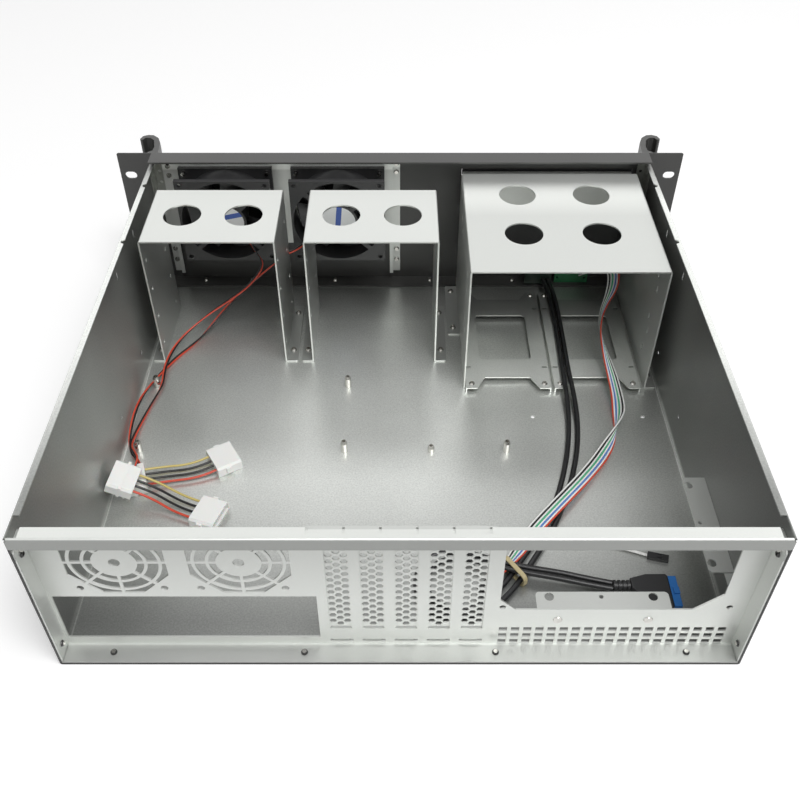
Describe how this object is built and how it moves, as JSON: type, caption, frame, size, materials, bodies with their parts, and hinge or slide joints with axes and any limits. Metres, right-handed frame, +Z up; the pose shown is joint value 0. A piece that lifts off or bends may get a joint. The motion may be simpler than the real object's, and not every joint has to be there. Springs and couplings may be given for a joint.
{
  "type": "rackmount server case",
  "caption": "Open rackmount server case with drive brackets, optical cage, front fans, rack ears, handles and loose internal cables.",
  "frame": {"origin": "middle of the rear lower edge, on the underside", "axes": "X across the case to the right as seen from behind it, Y from the rear edge to the front panel, Z up"},
  "size_m": [0.4826, 0.4362, 0.1325],
  "materials": {
    "bay_plastic": "matte",
    "black_sheet": "satin",
    "board_dark": "satin",
    "board_green": "satin",
    "button_plastic": "satin",
    "fan_black": "matte",
    "galvanised_sheet": "satin",
    "light_clear": "gloss",
    "nylon_white": "satin",
    "painted_panel": "satin",
    "plug_black": "satin",
    "plug_blue": "satin",
    "port_metal": "polished",
    "rubber_tan": "matte",
    "wire_black": "satin",
    "wire_group": "satin",
    "wire_pair": "satin",
    "wire_ribbon": "satin",
    "wire_white": "satin",
    "zinc_screw": "satin"
  },
  "bodies": {
    "case": {"bay_cover_lower": "bay_plastic", "bay_cover_upper": "bay_plastic", "board_switches": "plug_black", "cage_screws": "zinc_screw", "chassis_tray": "galvanised_sheet", "control_board": "board_green", "corner_bracket_left": "black_sheet", "corner_bracket_right": "black_sheet", "drive_bracket_left": "galvanised_sheet", "drive_bracket_middle": "galvanised_sheet", "drive_bracket_screws": "zinc_screw", "fan_left_frame": "fan_black", "fan_left_lead": "wire_pair", "fan_plate": "galvanised_sheet", "fan_plate_screws": "zinc_screw", "fan_right_frame": "fan_black", "fan_right_lead": "wire_pair", "fan_screws": "zinc_screw", "front_flange_screws": "zinc_screw", "front_panel": "painted_panel", "handle_left": "painted_panel", "handle_right": "painted_panel", "header_plug": "plug_black", "indicator_lead": "wire_white", "indicator_plug": "plug_black", "intake_filter": "fan_black", "light_pipes": "light_clear", "optical_cage": "galvanised_sheet", "power_leads_lower": "wire_group", "power_leads_upper": "wire_group", "power_plug_lower": "nylon_white", "power_plug_upper": "nylon_white", "power_socket_flat": "nylon_white", "power_socket_raised": "nylon_white", "psu_shelf_bracket": "galvanised_sheet", "psu_shelf_screws": "zinc_screw", "psu_side_bracket": "galvanised_sheet", "rear_panel": "galvanised_sheet", "rear_panel_screws": "zinc_screw", "ribbon_cable": "wire_ribbon", "rubber_band": "rubber_tan", "slot_cover_1": "galvanised_sheet", "slot_cover_2": "galvanised_sheet", "slot_cover_3": "galvanised_sheet", "slot_cover_4": "galvanised_sheet", "slot_cover_5": "galvanised_sheet", "ssd_tray_left": "galvanised_sheet", "ssd_tray_right": "galvanised_sheet", "standoffs": "zinc_screw", "tray_screws": "zinc_screw", "usb_board": "board_dark", "usb_cord_inner": "wire_black", "usb_cord_outer": "wire_black", "usb_plug_body": "plug_black", "usb_plug_insert": "plug_blue", "usb_ports": "port_metal"},
    "fan_left_rotor": {"fan_left_rotor": "fan_black"},
    "fan_right_rotor": {"fan_right_rotor": "fan_black"},
    "power_button": {"power_button": "button_plastic"},
    "reset_button": {"reset_button": "button_plastic"}
  },
  "joints": [
    {"name": "fan_left_spin", "type": "hinge", "parent": "case", "child": "fan_left_rotor", "pos_m": [-0.1494, 0.3839, 0.0829], "axis": [0, 1, 0], "continuous": true},
    {"name": "fan_right_spin", "type": "hinge", "parent": "case", "child": "fan_right_rotor", "pos_m": [-0.0533, 0.3839, 0.0829], "axis": [0, 1, 0], "continuous": true},
    {"name": "power_press", "type": "slide", "parent": "case", "child": "power_button", "axis": [0, -1, 0], "range_m": [0, 0.0015], "stiffness_N_per_m": 400, "springref_m": -0.001},
    {"name": "reset_press", "type": "slide", "parent": "case", "child": "reset_button", "axis": [0, -1, 0], "range_m": [0, 0.0015], "stiffness_N_per_m": 400, "springref_m": -0.001}
  ]
}
